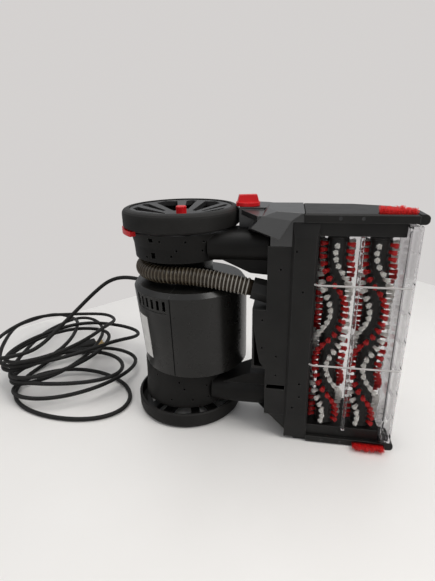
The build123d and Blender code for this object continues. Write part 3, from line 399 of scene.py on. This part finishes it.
def add_cord():
    joint = heap_point(0) - heap_heading(0) * CORD_D
    last = LOOP_COUNT + TAIL_TURNS
    steps = round(last * POINTS_PER_TURN)
    points = [GLAND_TIP, GLAND_TIP + GLAND_DIR * GLAND_LEAD, *[Vector(p) for p in RUN]]
    points.append(joint - heap_heading(0) * HEAP_LEAD)
    points += [heap_point(last * i / steps) for i in range(steps + 1)]
    points.append(heap_point(last) + heap_heading(last) * CORD_D)
    data = bpy.data.curves.new("cord", "CURVE")
    data.dimensions = "3D"
    data.bevel_depth = CORD_D / 2000
    data.bevel_resolution = 5
    data.resolution_u = 6
    line = data.splines.new("NURBS")
    line.points.add(len(points) - 1)
    for slot, p in zip(line.points, points):
        slot.co = (*at(*p), 1)
    line.order_u = 3
    line.use_endpoint_u = True
    cord = bpy.data.objects.new("cord", data)
    bpy.context.scene.collection.objects.link(cord)
    data.materials.append(CORD)
    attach(cord, "barrel")
    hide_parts("cord_run", "cord_heap")


add_cord()


# Mesh helpers
def piece(name, verts, faces, material, body, slot, smooth=True):
    mesh = bpy.data.meshes.new(name)
    mesh.from_pydata([tuple(v) for v in verts], [], faces)
    mesh.materials.append(material)
    if smooth:
        mesh.shade_smooth()
    made = bpy.data.objects.new(name, mesh)
    bpy.context.scene.collection.objects.link(made)
    if body:
        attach(made, body)
    return made


def tube(verts, faces, rings, closed_ends=True):
    """Joins rings of equal count into a tube, adding to verts and faces."""
    start = len(verts)
    count = len(rings[0])
    for ring in rings:
        verts.extend(ring)
    for i in range(len(rings) - 1):
        for j in range(count):
            a = start + i * count + j
            b = start + i * count + (j + 1) % count
            faces.append((a, b, b + count, a + count))
    if closed_ends:
        faces.append(tuple(start + j for j in reversed(range(count))))
        faces.append(tuple(start + (len(rings) - 1) * count + j for j in range(count)))


def across(direction):
    """Two unit vectors square to a direction."""
    side = direction.cross(UP if abs(direction.z) < 0.9 else Vector((1, 0, 0))).normalized()
    return side, direction.cross(side).normalized()


def circle(centre, u, v, radius, sides):
    """Points round a centre, in the plane of u and v."""
    turns = [math.tau * k / sides for k in range(sides)]
    return [at(*(centre + (u * math.cos(turn) + v * math.sin(turn)) * radius)) for turn in turns]


def filament(verts, faces, places, radii, sides=4):
    rings = []
    for i, place in enumerate(places):
        ahead = places[min(i + 1, len(places) - 1)] - places[max(i - 1, 0)]
        rings.append(circle(place, *across(ahead.normalized()), radii[i], sides))
    tube(verts, faces, rings)


# Suction hose: smooth ribs on the solid's own line, from the barrel to the foot
HOSE_LEAD = 14.0
HOSE_WRAP_R = 60.0
HOSE_START = math.radians(172)
HOSE_EASE = 10.0
HOSE_Z = (76.0, 62.0)
CUFF_X = 112.0
HOSE_WRAP = HOSE_WRAP_R * (1.5 * math.pi - HOSE_START)
HOSE_L = HOSE_LEAD + HOSE_WRAP + CUFF_X
HOSE_RIBS = 42
HOSE_PLAIN = 4.0
VALLEY_R, CROWN_R, BORE_R = 11.0, 12.9, 9.6
CROWN_POWER = 0.6
HOSE_SIDES = 40
STATIONS_PER_RIB = 8


def hose_place(distance):
    """A point on the hose's line and the heading there."""
    along_wrap = distance - HOSE_LEAD
    straight = along_wrap - HOSE_WRAP
    fall_l = CUFF_X + HOSE_EASE
    share = max(0.0, (straight + HOSE_EASE) / fall_l)
    drop = HOSE_Z[1] - HOSE_Z[0]
    z = zc(HOSE_Z[0] + drop * share ** 2)
    slope = 2 * drop * share / fall_l
    if straight > 0:
        return Vector((straight, -HOSE_WRAP_R, z)), Vector((1, 0, slope)).normalized()
    a = HOSE_START + max(0.0, along_wrap) / HOSE_WRAP_R
    back = min(0.0, along_wrap)
    x = HOSE_WRAP_R * math.cos(a) - back * math.sin(a)
    y = HOSE_WRAP_R * math.sin(a) + back * math.cos(a)
    return Vector((x, y, z)), Vector((-math.sin(a), math.cos(a), slope)).normalized()


def hose_ring(distance, radius):
    centre, along = hose_place(distance)
    return circle(centre, *across(along), radius, HOSE_SIDES)


def add_hose():
    stations = [(0.0, 0.0)]
    pitch = (HOSE_L - 2 * HOSE_PLAIN) / HOSE_RIBS
    for i in range(HOSE_RIBS * STATIONS_PER_RIB + 1):
        wave = 0.5 - 0.5 * math.cos(math.tau * i / STATIONS_PER_RIB)
        stations.append((HOSE_PLAIN + i * pitch / STATIONS_PER_RIB, wave ** CROWN_POWER))
    stations.append((HOSE_L, 0.0))
    verts, faces, crowns, rings = [], [], [], []
    for distance, crown in stations:
        rings.append(hose_ring(distance, VALLEY_R + (CROWN_R - VALLEY_R) * crown))
        crowns += [crown] * HOSE_SIDES
    for distance in (HOSE_L, 0.0):
        rings.append(hose_ring(distance, BORE_R))
        crowns += [0.0] * HOSE_SIDES
    tube(verts, faces, rings, closed_ends=False)
    hose = piece("ribbed_hose", verts, faces, HOSE, None, "hose")
    mark = hose.data.attributes.new("crown", "FLOAT", "POINT")
    mark.data.foreach_set("value", crowns)
    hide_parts("suction_hose")
    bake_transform(hose)


add_hose()

# Barrel: a near-black strip along the joint between its two shells, painted shade for the shadow in the
# joint's groove.
# An end of the line has the shell's middle in X, its radius and a height
SEAM_ENDS = ((15.0, 82.0, -75.5), (10.0, 87.0, 49.0))
SEAM_HALF_W = 0.7
SEAM_PROUD, SEAM_DEEP = 0.1, -0.8


def add_seam_shade():
    section = ((-SEAM_HALF_W, SEAM_PROUD), (SEAM_HALF_W, SEAM_PROUD), (SEAM_HALF_W, SEAM_DEEP),
               (-SEAM_HALF_W, SEAM_DEEP))
    rings = []
    for centre_x, radius, height in SEAM_ENDS:
        rings.append([at(x, -math.sqrt(radius ** 2 - (x - centre_x) ** 2) - proud, zc(height))
                      for x, proud in section])
    verts, faces = [], []
    tube(verts, faces, rings)
    piece("barrel_seam_shade", verts, faces, SEAM_SHADOW, "barrel", "black_plastic", smooth=False)


add_seam_shade()

# Brush rolls: sleeves with seats for the tufts, and tufts of fine filaments in wavy rows.
# The sleeve's end has radii and heights, and the seat has reaches from the roll's axis and radii
ROLL_X = {"rear": 220.0, "front": 271.0}
ROLL_Y = -61.5
PHASE = {"rear": math.radians(48), "front": math.radians(40)}
WAVE_TURN = math.radians(60)
WAVE_HALF = 80
ROLL_SEED = 7
ROWS = 6
TUFTS_PER_ROW = 31
TUFT_SPAN = 129.0
SLEEVE_SIDES = 48
SLEEVE_END = [(13.5, 134), (12.9, 134.5), (12.9, 136), (13.5, 136.5), (13.5, 138), (12.2, 138)]
SLEEVE_SHARP = math.radians(35)
SEAT_SIDES = 10
SEAT = ((12.8, 3.3), (13.9, 3.2), (14.2, 2.7))
STRANDS = 32
STRAND_TURN = 2.39996
STRAND_R = (0.38, 0.41, 0.36)
ROOT_REACH, MID_REACH, TIP_REACH = 12.9, 18.5, 24.0
ROOT_W, MID_W, TIP_W = 2.0, 2.35, 3.6
TIP_DOME = 1.2
TIP_UNEVEN = (-0.35, 0.25)
STRAND_UNEVEN = (-0.2, 0.2)


def add_sleeve(verts, faces, x):
    start = [(radius, -height) for radius, height in reversed(SLEEVE_END)]
    rings = []
    for radius, height in start + SLEEVE_END:
        centre = Vector((x, ROLL_Y, zc(height)))
        rings.append(circle(centre, Vector((1, 0, 0)), Vector((0, 1, 0)), radius, SLEEVE_SIDES))
    tube(verts, faces, rings, closed_ends=False)


def add_tuft(rng, verts, faces, centre, out, side):
    for k in range(STRANDS):
        spread = math.sqrt((k + 0.5) / STRANDS)
        a = k * STRAND_TURN + rng.uniform(*STRAND_UNEVEN)
        lean = side * math.cos(a) + UP * math.sin(a)
        tip_reach = TIP_REACH - TIP_DOME * spread ** 2 + rng.uniform(*TIP_UNEVEN)
        tip_w = TIP_W * spread + rng.uniform(*STRAND_UNEVEN)
        places = [centre + out * ROOT_REACH + lean * ROOT_W * spread,
                  centre + out * MID_REACH + lean * (MID_W * spread),
                  centre + out * tip_reach + lean * tip_w]
        filament(verts, faces, places, STRAND_R)


def add_rolls():
    rng = random.Random(ROLL_SEED)
    for name, x in ROLL_X.items():
        body = f"roll_{name}"
        sleeve_v, sleeve_f = [], []
        add_sleeve(sleeve_v, sleeve_f, x)
        tufts = {"white": ([], []), "red": ([], [])}
        for row in range(ROWS):
            verts, faces = tufts["white" if row % 2 == 0 else "red"]
            for i in range(TUFTS_PER_ROW):
                height = -TUFT_SPAN + i * 2 * TUFT_SPAN / (TUFTS_PER_ROW - 1)
                wave = WAVE_TURN * math.sin(math.pi * height / WAVE_HALF)
                turn = PHASE[name] + math.tau * row / ROWS + wave
                out = Vector((math.sin(turn), -math.cos(turn), 0))
                side = Vector((-out.y, out.x, 0))
                centre = Vector((x, ROLL_Y, zc(height)))
                seat = [circle(centre + out * reach, side, UP, radius, SEAT_SIDES) for reach, radius in SEAT]
                tube(sleeve_v, sleeve_f, seat)
                add_tuft(rng, verts, faces, centre, out, side)
        sleeve = piece(f"roll_sleeve_{name}", sleeve_v, sleeve_f, BLACK, body, "black_plastic")
        sleeve.data.set_sharp_from_angle(angle=SLEEVE_SHARP)
        for tone, material in (("white", WHITE_BRISTLE), ("red", RED_BRISTLE)):
            made = piece(f"roll_tufts_{name}_{tone}", *tufts[tone], material, body, "roll_bristle")
            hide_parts(f"roll_bristles_{name}")


add_rolls()

# Edge brushes: dense red filaments, free above, and pressed forward of the sole by the floor below
EDGE_SEED = 11
EDGE_X = (261.0, 304.0)
EDGE_Y = -78.0
EDGE_BASE_Z = (162, 165)
EDGE_BASE_HALF_W = 4.5
EDGE_ROOT_Z = 164
EDGE_ROOT_HALF_W = 3.4
EDGE_MARGIN = 1.2
EDGE_COLUMNS, EDGE_ROWS, PER_CLUMP = 63, 9, 7
EDGE_STRAND_R = (0.24, 0.24, 0.2)
CLUMP_SWAY_X, CLUMP_SWAY_Y, CLUMP_LENGTH = (-1.6, 1.6), (-0.8, 0.8), (0.8, 1.0)
STRAND_SWAY_X, STRAND_SWAY_Y = (-2.4, 2.4), (-1.4, 1.4)
FREE_REACH = (9.5, 13.8)
FREE_MID, FREE_MID_SWAY = 0.55, 0.25
PRESSED_REACH = (16.0, 21.0)
PRESSED_MID = 0.45
PRESSED_MID_SWAY, PRESSED_TIP_SWAY = 0.3, 0.7
PRESSED_ROOT_Z, PRESSED_ROOT_RISE = 3.4, 2.2
PRESSED_TIP_Z, PRESSED_TIP_RISE = 0.6, 10.5


def free_strand(rng, root, sway, length):
    reach = length * rng.uniform(*FREE_REACH)
    return [root, root + UP * (reach * FREE_MID) + sway * FREE_MID_SWAY, root + UP * reach + sway]


def pressed_strand(rng, x, row, sway, length):
    """Lies forward of the sole, and the higher it starts the higher its tip is."""
    reach = length * rng.uniform(*PRESSED_REACH)
    level = (row + rng.random()) / EDGE_ROWS
    y = EDGE_Y + EDGE_ROOT_HALF_W * (1 - 2 * level)
    root = Vector((x, y, PRESSED_ROOT_Z + PRESSED_ROOT_RISE * level))
    tip = Vector((x + sway.x * PRESSED_TIP_SWAY, y - reach, PRESSED_TIP_Z + PRESSED_TIP_RISE * level))
    middle_z = PRESSED_MID * root.z + (1 - PRESSED_MID) * tip.z
    middle = Vector((x + sway.x * PRESSED_MID_SWAY, y - reach * PRESSED_MID, middle_z))
    return [root, middle, tip]


def edge_base(sign):
    corners = [(EDGE_X[0], -1), (EDGE_X[1], -1), (EDGE_X[1], 1), (EDGE_X[0], 1)]
    heights = sorted(zc(sign * height) for height in EDGE_BASE_Z)
    return [[at(x, EDGE_Y + way * EDGE_BASE_HALF_W, z) for x, way in corners] for z in heights]


def add_edge_brushes():
    rng = random.Random(EDGE_SEED)
    width = EDGE_X[1] - EDGE_X[0] - 2 * EDGE_MARGIN
    for name, sign in (("upper", 1), ("lower", -1)):
        verts, faces = [], []
        tube(verts, faces, edge_base(sign))
        clumps = [(rng.uniform(*CLUMP_SWAY_X), rng.uniform(*CLUMP_SWAY_Y), rng.uniform(*CLUMP_LENGTH))
                  for _ in range(EDGE_COLUMNS // PER_CLUMP)]
        for i in range(EDGE_COLUMNS):
            lean_x, lean_y, length = clumps[i // PER_CLUMP]
            for row in range(EDGE_ROWS):
                x = EDGE_X[0] + EDGE_MARGIN + width * (i + rng.random()) / EDGE_COLUMNS
                y = EDGE_Y + EDGE_ROOT_HALF_W * (2 * (row + rng.random()) / EDGE_ROWS - 1)
                sway = Vector((lean_x + rng.uniform(*STRAND_SWAY_X), lean_y + rng.uniform(*STRAND_SWAY_Y), 0))
                if name == "upper":
                    places = free_strand(rng, Vector((x, y, zc(EDGE_ROOT_Z))), sway, length)
                else:
                    places = pressed_strand(rng, x, row, sway, length)
                filament(verts, faces, places, EDGE_STRAND_R)
        made = piece(f"edge_filaments_{name}", verts, faces, EDGE_BRISTLE, "chassis", "red_bristle")
        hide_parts(f"edge_brush_{name}")


add_edge_brushes()

# Table, world and lamps: the table is level, with a corner far behind the part.
# A lamp has its place, its aim, its size and its power
TABLE_OUTLINE = [(212, 1048), (-1500, -1000), (-1500, -2600), (1900, -2600), (1900, -650)]
TABLE_Z = -0.0002
LIGHT_TONE, LIGHT_LEVEL = (0.85, 0.86, 0.88, 1), 0.45
SEEN_TONE, SEEN_LEVEL = (0.66, 0.64, 0.63, 1), 1.0
MIRROR_LEVELS = (0.3, 1.5)
LAMP_TINT = (1, 0.98, 0.95)
LAMPS = {
    "key": ((1.1, -0.5, 1.4), (0.0, 0.0, 0.15), 0.9, 15),
    "top": ((-0.3, 0.1, 1.8), (0.0, 0.0, 0.1), 1.4, 12),
    "fill": ((-1.2, -1.2, 0.9), (0.0, 0.0, 0.15), 1.2, 2.5),
}


def add_stage():
    outline = [at(x, y, 0) for x, y in TABLE_OUTLINE]
    mesh = bpy.data.meshes.new("table")
    mesh.from_pydata([(p.x, p.y, TABLE_Z) for p in outline], [], [tuple(range(len(outline)))])
    table = bpy.data.objects.new("table", mesh)
    bpy.context.scene.collection.objects.link(table)
    material, tree, bsdf = shader("table_white")
    tone = ramp(tree, noise(tree, scale=3, detail=4), (0.84, 0.825, 0.805), (0.88, 0.865, 0.85))
    feed(tree, bsdf.inputs["Base Color"], tone)
    feed(tree, bsdf.inputs["Roughness"], scaled(tree, noise(tree, scale=8, detail=4), 0.35, 0.5))
    mesh.materials.append(material)


def add_world():
    """The background is pale where it's seen, and reflections are brighter from above than from the sides."""
    world = bpy.data.worlds.new("world")
    bpy.context.scene.world = world
    world.use_nodes = True
    tree = world.node_tree
    background = tree.nodes["Background"]
    rays = add(tree, "ShaderNodeLightPath").outputs
    seen = maths(tree, "MAXIMUM", rays["Is Camera Ray"], rays["Is Transmission Ray"])
    toward = add(tree, "ShaderNodeTexCoord").outputs["Generated"]
    upward = add(tree, "ShaderNodeSeparateXYZ", {"Vector": toward}).outputs["Z"]
    mirrored = maths(tree, "MULTIPLY", scaled(tree, upward, *MIRROR_LEVELS), rays["Is Glossy Ray"])
    level = maths(tree, "MAXIMUM", scaled(tree, seen, LIGHT_LEVEL, SEEN_LEVEL), mirrored)
    feed(tree, background.inputs["Color"], mixed(tree, seen, LIGHT_TONE, SEEN_TONE))
    feed(tree, background.inputs["Strength"], level)


def add_lamps():
    for name, (place, aim, size, power) in LAMPS.items():
        data = bpy.data.lights.new(name, "AREA")
        data.size = size
        data.energy = power
        data.color = LAMP_TINT
        lamp = bpy.data.objects.new(name, data)
        lamp.location = place
        lamp.rotation_euler = (Vector(aim) - Vector(place)).to_track_quat("-Z", "Y").to_euler()
        bpy.context.scene.collection.objects.link(lamp)


add_stage()
add_world()
add_lamps()

bpy.context.scene.view_settings.view_transform = "Standard"
